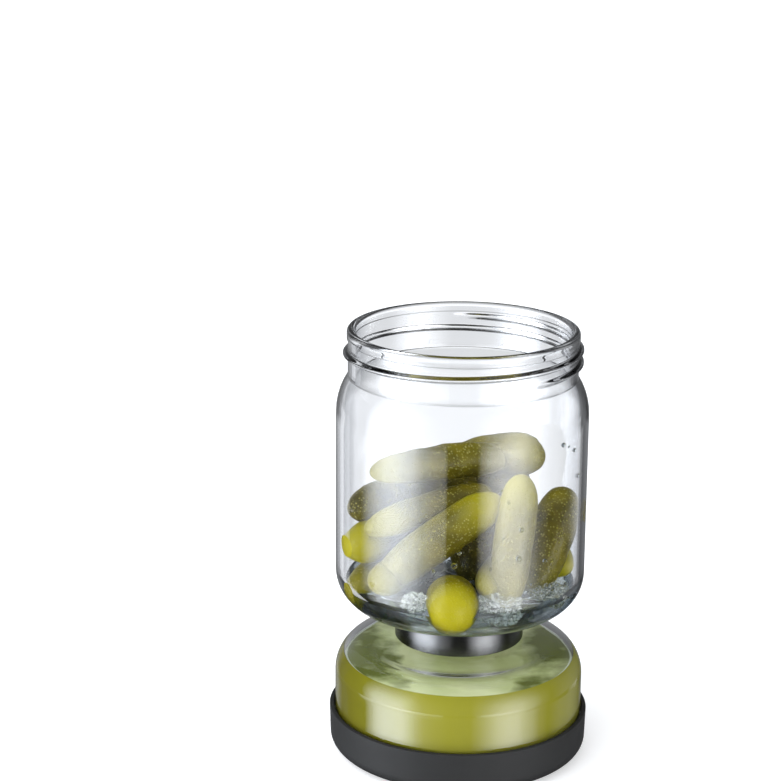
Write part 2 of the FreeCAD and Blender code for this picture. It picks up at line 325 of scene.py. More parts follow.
class Graph:
    """Short ways to add and join the nodes of a material or of the world."""

    def __init__(self, tree: bpy.types.NodeTree) -> None:
        """Empties the tree.

        Args:
            tree: The node tree to fill.
        """
        self.tree = tree
        tree.nodes.clear()

    def add(
        self, kind: str, inputs: Optional[Mapping[Union[str, int], Value]] = None, **settings: object
    ) -> bpy.types.Node:
        """Adds a node.

        Args:
            kind: The node's type, without its ShaderNode prefix.
            inputs: Values or sockets for its inputs, by name or number.
            **settings: Its own settings.

        Returns:
            The new node.
        """
        node = self.tree.nodes.new("ShaderNode" + kind)
        for name, value in settings.items():
            setattr(node, name, value)
        for name, value in (inputs or {}).items():
            if isinstance(value, bpy.types.NodeSocket):
                self.tree.links.new(value, node.inputs[name])
            else:
                node.inputs[name].default_value = value
        return node

    def math(self, operation: str, *values: Value, clamp: bool = False) -> bpy.types.NodeSocket:
        """Adds a math node and gives its result, held to 0 to 1 where clamp says so."""
        return self.add("Math", dict(enumerate(values)), operation=operation, use_clamp=clamp).outputs[0]

    def ramp(self, share: Value, stops: Mapping[float, Sequence[float]]) -> bpy.types.NodeSocket:
        """Adds a colour ramp.

        Args:
            share: What the ramp reads.
            stops: Colours by their place from 0 to 1, in order.

        Returns:
            The ramp's colour.
        """
        node = self.add("ValToRGB", {0: share})
        elements = node.color_ramp.elements
        elements.remove(elements[0])
        for i, (place, colour) in enumerate(stops.items()):
            element = elements[0] if i == 0 else elements.new(place)
            element.position = place
            element.color = colour
        return node.outputs["Color"]

    def blend(self, share: Value, low: Value, high: Value) -> bpy.types.NodeSocket:
        """Mixes two colours and gives the result."""
        return self.add("Mix", {0: share, 6: low, 7: high}, data_type="RGBA").outputs[2]

    def place(self) -> bpy.types.NodeSocket:
        """Gives the point's place in the object's own coordinates."""
        return self.add("TexCoord").outputs["Object"]

    def noise(self, scale: float, detail: float = 3.0, at: Optional[Value] = None) -> bpy.types.NodeSocket:
        """Adds a noise texture, scale in bumps a metre, and gives its value."""
        source = self.place() if at is None else at
        return self.add("TexNoise", {"Vector": source, "Scale": scale, "Detail": detail}).outputs["Fac"]

    def part(self, vector: Value, axis: str) -> bpy.types.NodeSocket:
        """Gives the X, Y or Z of a vector."""
        return self.add("SeparateXYZ", {0: vector}).outputs[axis]

    def spread(
        self, value: Value, low: float = 0.0, high: float = 1.0, start: float = 0.0, end: float = 1.0
    ) -> bpy.types.NodeSocket:
        """Turns a value's run from start to end into one from low to high, and holds it there outside."""
        return self.add("MapRange", {0: value, 1: start, 2: end, 3: low, 4: high}).outputs[0]

    def bump(self, height: Value, distance: float) -> bpy.types.NodeSocket:
        """Adds a bump and gives its normal."""
        return self.add("Bump", {"Height": height, "Distance": distance, "Strength": 1.0}).outputs[0]

    def finish(self, surface: bpy.types.NodeSocket) -> None:
        """Joins the finished shader to the material's output."""
        self.add("OutputMaterial", {"Surface": surface})

    def plain(self, inputs: Mapping[str, Value]) -> None:
        """Finishes a material that is one shader with these inputs."""
        self.finish(self.add("BsdfPrincipled", inputs).outputs[0])


def shade(red: float, green: float, blue: float) -> tuple[float, float, float, float]:
    """Turns a display colour into the linear colour that shaders take.

    Args:
        red: Its red, from 0 to 255.
        green: Its green.
        blue: Its blue.

    Returns:
        Linear red, green and blue from 0 to 1, and an opaque alpha.
    """
    parts = [value / 255 for value in (red, green, blue)]
    linear = [v / 12.92 if v <= 0.04045 else ((v + 0.055) / 1.055) ** 2.4 for v in parts]
    return (*linear, 1.0)


def grey(level: float) -> tuple[float, float, float, float]:
    """Gives a neutral linear colour."""
    return (level, level, level, 1.0)


def cool(level: float) -> tuple[float, float, float, float]:
    """Gives a linear grey with a trace of blue."""
    return (0.95 * level, 0.97 * level, level, 1.0)


@dataclass(frozen=True)
class Finish:
    """A finish that pieces can be given.

    Args:
        name: Its name, also of its material.
        slot: The record's slot that it belongs to, or nothing; not used.
    """

    name: str
    slot: str

    def material(self) -> bpy.types.Material:
        """Makes the finish's material, the first time that it is asked for.

        Returns:
            The material.
        """
        name = self.name + "_finish"
        made = bpy.data.materials.get(name)
        if made is None:
            made = bpy.data.materials.new(name)
            made.use_nodes = True
            self.paint(Graph(made.node_tree))
        return made

    def paint(self, graph: Graph) -> None:
        """Fills the material's nodes.

        Args:
            graph: The nodes, empty so far.
        """
        raise NotImplementedError

    def dress(self, piece: bpy.types.Object) -> None:
        """Gives a new piece this finish.

        Args:
            piece: The piece to dress.
        """
        piece.data.materials.clear()
        piece.data.materials.append(self.material())

    def dress_node(self, node: str) -> None:
        """Gives a CAD node this finish.

        Args:
            node: The node's name.
        """
        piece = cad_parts[node]
        piece.data.materials.clear()
        piece.data.materials.append(self.material())
        LOG.info("%s: dressed in %s", node, self.name)


@dataclass(frozen=True)
class ClearGlass(Finish):
    """Clear soda glass, faintly blue where one looks along it, darkened by painted shade at a slant, and not
    quite even.

    Args:
        heart: Tint seen square on.
        rim: Tint seen at a slant: the faint blue, darkened by painted shade.
        edge: Tint along the outline: painted shade that draws the glass's dark outlines.
        shadow: Tint of its shadow.
        unevenness: Height of the waves in its surface.
    """

    name: str = "clear_glass"
    slot: str = "clear_glass"
    heart: Sequence[float] = (0.985, 0.99, 0.998, 1.0)
    rim: Sequence[float] = (0.8, 0.82, 0.86, 1.0)
    edge: Sequence[float] = (0.42, 0.45, 0.5, 1.0)
    shadow: Sequence[float] = (0.95, 0.96, 0.965, 1.0)
    unevenness: float = 0.02 * MM

    def paint(self, graph: Graph) -> None:
        """Fills the material's nodes.

        Args:
            graph: The nodes, empty so far.
        """
        # Painted shade: the tint darkens with the slant, from clear square on to a dark outline.
        slant = graph.add("LayerWeight", {"Blend": 0.5}).outputs["Facing"]
        tint = graph.ramp(slant, {0.0: self.heart, 0.5: self.heart, 0.78: self.rim, 0.97: self.edge})
        flow = graph.bump(graph.noise(35.0, 1.0), self.unevenness)
        inputs = {
            "Base Color": tint, "Roughness": 0.0, "IOR": 1.5, "Transmission Weight": 1.0, "Normal": flow,
        }
        let_through(graph, graph.add("BsdfPrincipled", inputs).outputs[0], self.shadow)


def let_through(graph: Graph, shader: bpy.types.NodeSocket, colour: Sequence[float]) -> None:
    """Finishes a clear material so that light goes straight through it to what is inside.

    Args:
        graph: The material's nodes.
        shader: The shader that is seen.
        colour: The tint of the light that goes through.
    """
    path = graph.add("LightPath").outputs
    lamp = graph.math("MAXIMUM", path["Is Shadow Ray"], path["Is Diffuse Ray"])
    clear = graph.add("BsdfTransparent", {"Color": colour}).outputs[0]
    graph.finish(graph.add("MixShader", {0: lamp, 1: shader, 2: clear}).outputs[0])


@dataclass(frozen=True)
class PolishedGunmetal(Finish):
    """Dark polished metal with the faint rings of its turning."""

    name: str = "gunmetal"
    slot: str = "dark_chrome"
    colour: Sequence[float] = (0.12, 0.12, 0.121, 1.0)

    def paint(self, graph: Graph) -> None:
        """Fills the material's nodes.

        Args:
            graph: The nodes, empty so far.
        """
        stretched = graph.add("Mapping", {"Vector": graph.place(), "Scale": (12.0, 12.0, 6000.0)}).outputs[0]
        rings = graph.noise(1.0, 4.0, stretched)
        smears = graph.noise(90.0, 3.0)
        rough = graph.math("ADD", graph.spread(rings, 0.16, 0.21), graph.spread(smears, 0.0, 0.05))
        inputs = {
            "Base Color": self.colour, "Metallic": 1.0, "Roughness": rough, "Anisotropic": 0.85,
            "Anisotropic Rotation": 0.25, "Normal": graph.bump(rings, 0.0012 * MM),
            "Tangent": graph.add("Tangent", direction_type="RADIAL", axis="Z").outputs[0],
        }
        graph.plain(inputs)


@dataclass(frozen=True)
class MouldedPlastic(Finish):
    """Moulded plastic with a fine spark-eroded grain and a trace of handling.

    Args:
        colour: Its colour.
        worn: Its colour where it is handled.
        grain: Height of the grain.
        roughness: Its roughness, within a little.
        gloss: How much it mirrors.
    """

    name: str = "cap_plastic"
    slot: str = "cap_plastic"
    colour: Sequence[float] = shade(43, 43, 43)
    worn: Sequence[float] = shade(50, 50, 50)
    grain: float = 0.012 * MM
    roughness: float = 0.56
    gloss: float = 0.17

    def paint(self, graph: Graph) -> None:
        """Fills the material's nodes.

        Args:
            graph: The nodes, empty so far.
        """
        cloud = graph.noise(45.0, 5.0)
        grain = graph.noise(3200.0, 2.0)
        rough = graph.spread(graph.noise(160.0, 4.0), self.roughness - 0.06, self.roughness + 0.06)
        inputs = {
            "Base Color": graph.blend(cloud, self.colour, self.worn), "Roughness": rough,
            "Specular IOR Level": self.gloss, "Normal": graph.bump(grain, self.grain),
        }
        graph.plain(inputs)


@dataclass(frozen=True)
class Silicone(Finish):
    """Cloudy silicone, soft-looking, with a matt skin.

    Args:
        colour: Its light patches.
        deep: Its darker patches.
    """

    name: str = "silicone"
    slot: str = "silicone"
    colour: Sequence[float] = shade(205, 208, 204)
    deep: Sequence[float] = shade(188, 192, 190)

    def paint(self, graph: Graph) -> None:
        """Fills the material's nodes.

        Args:
            graph: The nodes, empty so far.
        """
        inputs = {
            "Base Color": graph.blend(graph.noise(220.0, 4.0), self.deep, self.colour),
            "Roughness": graph.spread(graph.noise(700.0), 0.42, 0.6),
            "Subsurface Weight": 0.25, "Subsurface Scale": 1.5 * MM,
            "Normal": graph.bump(graph.noise(2600.0, 2.0), 0.01 * MM),
        }
        graph.plain(inputs)


@dataclass(frozen=True)
class BrushedSteel(Finish):
    """Stainless steel brushed in rings round the axis."""

    name: str = "strainer_steel"
    slot: str = "strainer_steel"
    colour: Sequence[float] = shade(196, 196, 192)

    def paint(self, graph: Graph) -> None:
        """Fills the material's nodes.

        Args:
            graph: The nodes, empty so far.
        """
        split = graph.add("SeparateXYZ", {0: graph.place()}).outputs
        across = graph.math("POWER", split["X"], 2.0)
        along = graph.math("POWER", split["Y"], 2.0)
        radius = graph.math("SQRT", graph.math("ADD", across, along))
        ring_place = graph.add("CombineXYZ", {0: radius, 2: split["Z"]}).outputs[0]
        rings = graph.noise(7000.0, 3.0, ring_place)
        smears = graph.noise(60.0)
        rough = graph.math("ADD", graph.spread(rings, 0.2, 0.36), graph.spread(smears, 0.0, 0.08))
        inputs = {
            "Base Color": self.colour, "Metallic": 1.0, "Roughness": rough,
            "Normal": graph.bump(rings, 0.002 * MM),
        }
        graph.plain(inputs)


@dataclass(frozen=True)
class Rubber(Finish):
    """Dark soft rubber with a dusty bloom.

    Args:
        colour: Its colour.
        bloom: Its colour where it is dusty.
    """

    name: str = "foot_rubber"
    slot: str = "foot_rubber"
    colour: Sequence[float] = shade(38, 38, 38)
    bloom: Sequence[float] = shade(58, 58, 57)

    def paint(self, graph: Graph) -> None:
        """Fills the material's nodes.

        Args:
            graph: The nodes, empty so far.
        """
        inputs = {
            "Base Color": graph.blend(graph.noise(120.0, 6.0), self.colour, self.bloom),
            "Roughness": graph.spread(graph.noise(500.0), 0.7, 0.9),
            "Normal": graph.bump(graph.noise(3000.0, 2.0), 0.015 * MM),
        }
        graph.plain(inputs)


@dataclass(frozen=True)
class BrineFinish(Finish):
    """Cloudy yellow-green brine under a clear, lightly rippled skin, with painted light and shade.

    Args:
        cloud: Its colour seen square on.
        slanted: Its colour at a slant, and in the painted shade that darkens its left side.
        depth: Its colour along the outline, and in the painted shade that darkens its left side.
        top_pale: Pale patches of its top, which is painted paler than its side, as lit from above.
        top_deep: Deeper patches of its painted lit top.
        top_dark: Painted shade towards the left and right of its top.
        brim: Its rim that climbs the glass, painted pale as a highlight.
        top_glow: Strength of the painted glow of its top and rim, standing in for light given back from
            inside.
        clarity: Share of the light that goes through it.
    """

    name: str = "brine"
    slot: str = ""
    cloud: Sequence[float] = shade(151, 147, 48)
    slanted: Sequence[float] = shade(130, 127, 34)
    depth: Sequence[float] = shade(106, 100, 14)
    top_pale: Sequence[float] = shade(218, 224, 172)
    top_deep: Sequence[float] = shade(188, 198, 134)
    top_dark: Sequence[float] = shade(96, 104, 40)
    brim: Sequence[float] = shade(205, 214, 188)
    top_glow: float = 0.3
    clarity: float = 0.12

    def paint(self, graph: Graph) -> None:
        """Fills the material's nodes.

        Args:
            graph: The nodes, empty so far.
        """
        slant = graph.add("LayerWeight", {"Blend": 0.5}).outputs["Facing"]
        up = graph.part(graph.add("NewGeometry").outputs["Normal"], "Z")
        sideways = graph.part(graph.place(), "X")
        # Painted shade: besides darkening towards the outline, the side darkens towards its left (-X).
        deeper = graph.math("MULTIPLY_ADD", sideways, -8.0, slant)
        side = graph.ramp(deeper, {0.0: self.cloud, 0.18: self.cloud, 0.33: self.slanted, 0.65: self.depth})
        # The top is painted paler than the side, as lit from above, in mottled patches.
        drift = graph.spread(graph.noise(38.0, 4.0), start=0.36, end=0.6)
        top = graph.blend(drift, self.top_deep, self.top_pale)
        across = graph.math("ABSOLUTE", sideways)
        # Painted shade towards the left and right of the top.
        shaded = graph.math("MULTIPLY_ADD", across, 14.0, graph.noise(60.0, 4.0))
        top = graph.blend(graph.spread(shaded, start=0.8, end=1.02), top, self.top_dark)
        # Painted highlight on the rim that climbs the glass; the same mask sets the painted glow of the rim
        # and top.
        brim = graph.spread(up, start=0.74, end=0.8)
        flat = graph.spread(up, start=0.95, end=0.985)
        colour = graph.blend(flat, graph.blend(brim, side, self.brim), top)
        # The emission is a painted glow, standing in for light given back from inside the brine.
        inputs = {
            "Base Color": colour, "Roughness": 0.03, "IOR": 1.33, "Transmission Weight": self.clarity,
            "Emission Color": colour, "Emission Strength": graph.math("MULTIPLY", brim, self.top_glow),
            "Normal": graph.bump(graph.noise(60.0, 2.0), 0.02 * MM),
        }
        graph.plain(inputs)


@dataclass(frozen=True)
class ClearWater(Finish):
    """Water, for the pool under the gherkins, the drops on the glass and the foam.

    Args:
        name: The material's name.
        slot: Empty, since it is on no piece of the record; not used.
        tint: Its colour.
        foam: How white its clusters of fine bubbles are, from 0 to 1.
    """

    name: str = "water"
    slot: str = ""
    tint: Sequence[float] = (0.84, 0.89, 0.92, 1.0)
    foam: float = 0.0

    def paint(self, graph: Graph) -> None:
        """Fills the material's nodes.

        Args:
            graph: The nodes, empty so far.
        """
        clear = graph.spread(graph.noise(800.0, 4.0), 1.0, 1.0 - self.foam, 0.4, 0.6)
        inputs = {"Base Color": self.tint, "Roughness": 0.0, "IOR": 1.33, "Transmission Weight": clear}
        let_through(graph, graph.add("BsdfPrincipled", inputs).outputs[0], self.tint)


@dataclass(frozen=True)
class GherkinSkin(Finish):
    """Warty olive skin with pale flecks, smooth and yellow-green where ripened, in painted shade where
    ripeness is below 0.

    Args:
        olive: Its light patches.
        dark: Its dark patches.
        yellow: Its colour where it is ripe.
        deep: Painted shade: its colour where other gherkins would shade it.
        fleck: Its flecks.
    """

    name: str = "gherkin_skin"
    slot: str = ""
    olive: Sequence[float] = shade(112, 101, 18)
    dark: Sequence[float] = shade(74, 66, 12)
    yellow: Sequence[float] = shade(172, 162, 1)
    deep: Sequence[float] = shade(34, 25, 8)
    fleck: Sequence[float] = shade(206, 198, 112)

    def paint(self, graph: Graph) -> None:
        """Fills the material's nodes.

        Args:
            graph: The nodes, empty so far.
        """
        own = graph.add("Attribute", attribute_name="own_place").outputs["Vector"]
        ripe = graph.add("Attribute", attribute_name="ripe").outputs["Fac"]
        cells = graph.add("TexVoronoi", {"Vector": own, "Scale": 960.0}).outputs
        chance = graph.spread(graph.part(cells["Color"], "X"), start=0.1, end=0.75)
        fleck = graph.math("MULTIPLY", graph.spread(cells["Distance"], 1.0, 0.0, 0.1, 0.45), chance)
        cloud = graph.noise(110.0, 5.0, own)
        streaks = graph.noise(40.0, 3.0, own)
        skin = graph.blend(graph.spread(cloud, start=0.35, end=0.65), self.dark, self.olive)
        greener = graph.math("ADD", ripe, graph.spread(streaks, -0.25, 0.25), clamp=True)
        skin = graph.blend(greener, skin, self.yellow)
        some = graph.math("MULTIPLY", fleck, graph.spread(ripe, 0.75, 0.1))
        skin = graph.blend(some, skin, self.fleck)
        # Painted shade: a ripeness below 0 darkens the skin towards the deep colour.
        skin = graph.blend(graph.math("MULTIPLY", ripe, -1.0, clamp=True), skin, self.deep)
        warts = graph.math("MULTIPLY", fleck, graph.spread(ripe, 1.0, 0.15))
        lumps = graph.math("ADD", warts, graph.math("MULTIPLY", graph.noise(260.0, 3.0, own), 0.7))
        inputs = {
            "Base Color": skin, "Roughness": 0.28, "IOR": 1.4, "Subsurface Weight": 0.2,
            "Subsurface Radius": (1.0, 0.8, 0.25), "Subsurface Scale": 3 * MM,
            "Normal": graph.bump(lumps, 0.34 * MM),
        }
        graph.plain(inputs)


GLASS = ClearGlass()
GUNMETAL = PolishedGunmetal()
CAP_PLASTIC = MouldedPlastic()
CORE_PLASTIC = MouldedPlastic(
    name="core_plastic", slot="core_plastic", colour=shade(34, 34, 35), worn=shade(44, 44, 45),
)
LINER_PLASTIC = MouldedPlastic(
    name="liner_plastic", slot="liner_plastic", colour=shade(196, 198, 196), worn=shade(206, 208, 206),
    grain=0.004 * MM, roughness=0.25, gloss=0.5,
)
SILICONE = Silicone()
STEEL = BrushedSteel()
FOOT_RUBBER = Rubber()


# ---------------------------------------------------------------------------------------------------
# The keeper's sub-assemblies
# ---------------------------------------------------------------------------------------------------


def heights(node: str) -> tuple[float, float]:
    """Looks up how high a CAD node lies.

    Args:
        node: The node's name.

    Returns:
        Its lowest and its highest point.
    """
    low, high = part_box(node)
    return low.z, high.z


def reach_of(node: str) -> float:
    """Gives a round CAD node's largest radius, by its box."""
    low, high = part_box(node)
    return (high.x - low.x) / 2


def settle(piece: bpy.types.Object, body: str, node: str, finish: Finish) -> bpy.types.Object:
    """Puts a new piece in a CAD node's stead.

    Args:
        piece: The new piece.
        body: The body that it moves with.
        node: The CAD node that it stands for.
        finish: Its finish.

    Returns:
        The piece.
    """
    finish.dress(piece)
    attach(piece, body)
    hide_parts(node)
    LOG.info("%s: %d faces, rides on %s, stands for %s", piece.name, len(piece.data.polygons), body, node)
    return piece


@dataclass
class WideMouth:
    """The wide threaded mouth that both jars have.

    Args:
        radius: Its outer radius, without the thread.
        glass: Its wall.
        pitch: Rise of one turn of its thread.
        ridge: How far the thread stands out.
    """

    radius: float = 45.4 * MM
    glass: float = 3 * MM
    pitch: float = 5 * MM
    ridge: float = 1.9 * MM

    @property
    def bore(self) -> float:
        """Inner radius of the mouth."""
        return self.radius - self.glass


@dataclass
class NarrowNeck:
    """The narrow threaded neck by which each jar screws into the waist.

    Args:
        bore: Its inner radius.
        radius: Its outer radius, without the thread.
        depth: Its length.
        pitch: Rise of one turn of its thread.
        ridge: How far the thread stands out.
        run_out: Distance from the thread to the neck's ends.
    """

    bore: float = 18 * MM
    radius: float = 20.4 * MM
    depth: float = 5.5 * MM
    pitch: float = 2.5 * MM
    ridge: float = 1.2 * MM
    run_out: float = 0.5 * MM


@dataclass
class FoodJar:
    """The upper jar: wide mouth, round shoulders, heavy rounded heel, narrow neck underneath.

    Args:
        mouth: Its mouth.
        neck: Its neck.
        glass: Its wall.
        floor: Its floor's thickness.
        heel_round: Outer rounding of its heel.
        shoulder_drop: Lip to where the shoulder begins.
        shoulder_rise: The shoulder's height.
        shoulder_round: Outer rounding of the shoulder.
        lip_bead: How far the lip stands out from the mouth.
        lip_depth: Lip to the foot of its bead.
        lip_round: Rounding of the lip's edges.
        bead_round: Rounding of the bead's foot.
        soft: Softening of the other edges.
        land: Lip to the top of the thread.
        thread_depth: Height of the thread.
        thread_start: Angle from +X where the thread begins, in degrees.
        core_recess: Underside to the top of the waist's insert.
    """

    mouth: WideMouth = field(default_factory=WideMouth)
    neck: NarrowNeck = field(default_factory=NarrowNeck)
    glass: float = 3 * MM
    floor: float = 4 * MM
    heel_round: float = 15 * MM
    shoulder_drop: float = 26.1 * MM
    shoulder_rise: float = 7.1 * MM
    shoulder_round: float = 26 * MM
    lip_bead: float = 0.4 * MM
    lip_depth: float = 4.4 * MM
    lip_round: float = 1.6 * MM
    bead_round: float = 0.2 * MM
    soft: float = 1 * MM
    land: float = 4.6 * MM
    thread_depth: float = 10.1 * MM
    thread_start: float = -56.0
    core_recess: float = 0.8 * MM

    def build(self) -> bpy.types.Object:
        """Turns the jar and raises both its threads.

        Returns:
            The jar.
        """
        bottom, lip = heights("upper_jar")
        radius = reach_of("upper_jar")
        underside = bottom + self.neck.depth
        floor = underside + self.floor
        shoulder = lip - self.shoulder_drop
        neck_line = shoulder + self.shoulder_rise
        inner = radius - self.glass
        bead = lip - self.lip_depth
        mouth, neck = self.mouth, self.neck
        half = self.soft / 2
        piece = Lathe(
            "jar_glass",
            [
                Corner(neck.bore, bottom, half, rows=3),
                Corner(neck.radius, bottom, half, rows=50),
                Corner(neck.radius, underside, half, rows=6),
                Corner(radius, underside, self.heel_round, rows=24),
                Corner(radius, shoulder, self.shoulder_round, rows=2),
                Corner(mouth.radius, neck_line, half, rows=100),
                Corner(mouth.radius, bead, self.bead_round),
                Corner(mouth.radius + self.lip_bead, bead + self.lip_bead, self.bead_round, rows=3),
                Corner(mouth.radius + self.lip_bead, lip, self.lip_round),
                Corner(mouth.bore, lip, self.lip_round, rows=8),
                Corner(mouth.bore, neck_line, self.soft, rows=2),
                Corner(inner, shoulder, self.shoulder_round - self.glass, rows=24),
                Corner(inner, floor, self.heel_round - self.glass, rows=8),
                Corner(neck.bore, floor, self.soft, rows=6),
            ],
        ).turned()
        high = lip - self.land
        Ridge(
            mouth.radius, mouth.ridge, mouth.pitch, high - self.thread_depth, high, self.thread_start,
            foot_share=0.3, crest_share=0.04, run_in=math.radians(24),
        ).raise_on(piece)
        low = bottom + neck.run_out
        high = underside - self.core_recess - neck.run_out
        Ridge(neck.radius, neck.ridge, neck.pitch, low, high).raise_on(piece)
        return settle(piece, "food_jar", "upper_jar", GLASS)


@dataclass
class BrineJar:
    """The lower jar: a shallow chamber with a narrow neck above and a wide mouth down in the cap.

    Args:
        mouth: Its mouth.
        neck: Its neck.
        glass: Its wall.
        crown: Thickness of its top.
        crown_rise: How far the top rises to the neck.
        crown_round: Outer rounding of the top's edge.
        mouth_depth: Height of its mouth.
        soft: Softening of its edges.
        slip: Room between the chamber and the cap's liner.
        core_recess: Neck's foot to the bottom of the waist's insert.
    """

    mouth: WideMouth = field(default_factory=WideMouth)
    neck: NarrowNeck = field(default_factory=NarrowNeck)
    glass: float = 3 * MM
    crown: float = 3.5 * MM
    crown_rise: float = 1.4 * MM
    crown_round: float = 14 * MM
    mouth_depth: float = 9.4 * MM
    soft: float = 1 * MM
    slip: float = 0.4 * MM
    core_recess: float = 0.8 * MM

    def build(self) -> bpy.types.Object:
        """Turns the jar and raises both its threads.

        Returns:
            The jar.
        """
        rim, neck_top = heights("lower_jar")
        radius = reach_of("lower_jar")
        heel = rim + self.mouth_depth
        neck_foot = neck_top - self.neck.depth
        top = neck_foot - self.crown_rise
        inner = radius - self.glass
        mouth, neck = self.mouth, self.neck
        half = self.soft / 2
        piece = Lathe(
            "chamber_glass",
            [
                Corner(mouth.bore, rim, self.soft, rows=2),
                Corner(mouth.radius, rim, self.soft, rows=64),
                Corner(mouth.radius, heel, half, rows=2),
                Corner(radius, heel, self.soft, rows=10),
                Corner(radius, top, self.crown_round, rows=10),
                Corner(neck.radius, neck_foot, half, rows=50),
                Corner(neck.radius, neck_top, half),
                Corner(neck.bore, neck_top, half, rows=4),
                Corner(neck.bore, neck_foot - self.crown, self.soft, rows=10),
                Corner(inner, top - self.crown, self.crown_round - self.glass, rows=8),
                Corner(inner, heel + self.glass, self.glass),
                Corner(mouth.bore, heel, self.glass, rows=4),
            ],
        ).turned()
        low, high = rim + neck.run_out, heel - self.slip - neck.run_out
        Ridge(mouth.radius, mouth.ridge, mouth.pitch, low, high).raise_on(piece)
        low, high = neck_foot + self.core_recess + neck.run_out, neck_top - neck.run_out
        Ridge(neck.radius, neck.ridge, neck.pitch, low, high).raise_on(piece)
        return settle(piece, "brine_jar", "lower_jar", GLASS)


@dataclass
class Coupling:
    """The waist: a polished sleeve over a threaded insert, with a gasket for each neck.

    Args:
        wall: The sleeve's wall.
        edge_round: Rounding of its edges.
    """

    wall: float = 0.8 * MM
    edge_round: float = 0.38 * MM

    def build(self) -> bpy.types.Object:
        """Turns the sleeve.

        Returns:
            The sleeve.
        """
        bottom, top = heights("coupling_band")
        outer = reach_of("coupling_band")
        inner = outer - self.wall
        piece = Lathe(
            "waist_sleeve",
            [
                Corner(inner, bottom, self.edge_round),
                Corner(outer, bottom, self.edge_round, rows=12),
                Corner(outer, top, self.edge_round),
                Corner(inner, top, self.edge_round, rows=12),
            ],
        ).turned()
        return settle(piece, "coupling", "coupling_band", GUNMETAL)

    def dress(self) -> None:
        """Gives the insert and the gaskets their finishes."""
        CORE_PLASTIC.dress_node("coupling_core")
        SILICONE.dress_node("upper_neck_gasket")
        SILICONE.dress_node("lower_neck_gasket")


@dataclass
class Strainer:
    """The lift strainer: a pierced pan in a silicone collar, with a low knob."""

    def dress(self) -> None:
        """Gives its three pieces their finishes."""
        STEEL.dress_node("strainer_plate")
        STEEL.dress_node("strainer_knob")
        SILICONE.dress_node("strainer_seal")


@dataclass
class BaseCap:
    """The cap under the chamber, which is also the foot.

    Args:
        wall: Its wall.
        floor: Its floor's thickness.
        draft: How much narrower it is at its foot than at its top.
        foot_round: Outer rounding of its foot.
        edge_round: Rounding of its top edges.
        foot_play: Room beside the foot ring in its groove.
        foot_width: Width of the foot ring.
        groove: Depth of the groove.
    """

    wall: float = 1.9 * MM
    floor: float = 2 * MM
    draft: float = 0.5 * MM
    foot_round: float = 5.5 * MM
    edge_round: float = 0.5 * MM
    foot_play: float = 0.1 * MM
    foot_width: float = 4.5 * MM
    groove: float = 0.6 * MM

    def build(self) -> bpy.types.Object:
        """Turns the cap's shell.

        Returns:
            The shell.
        """
        bottom, top = heights("base_cap_shell")
        outer = reach_of("base_cap_shell")
        foot = outer - self.draft
        bore = outer - self.wall
        inside = bottom + self.floor
        ring_outer = reach_of("foot_ring") + self.foot_play
        ring_inner = ring_outer - self.foot_width - 2 * self.foot_play
        piece = Lathe(
            "cap_shell",
            [
                Corner(0.0, bottom, rows=6),
                Corner(ring_inner, bottom),
                Corner(ring_inner, bottom + self.groove, rows=2),
                Corner(ring_outer, bottom + self.groove),
                Corner(ring_outer, bottom),
                Corner(foot, bottom, self.foot_round, rows=6),
                Corner(outer, top, self.edge_round, rows=2),
                Corner(bore, top, self.edge_round, rows=6),
                Corner(bore, inside, self.foot_round - self.floor, rows=8),
                Corner(0.0, inside),
            ],
            closed=False,
        ).turned()
        return settle(piece, "base_cap", "base_cap_shell", CAP_PLASTIC)

    def dress(self) -> None:
        """Gives the liner, the gasket and the foot ring their finishes."""
        LINER_PLASTIC.dress_node("base_cap_liner")
        SILICONE.dress_node("base_gasket")
        FOOT_RUBBER.dress_node("foot_ring")


# ---------------------------------------------------------------------------------------------------
# What the keeper holds, shown with it but no part of it
# ---------------------------------------------------------------------------------------------------


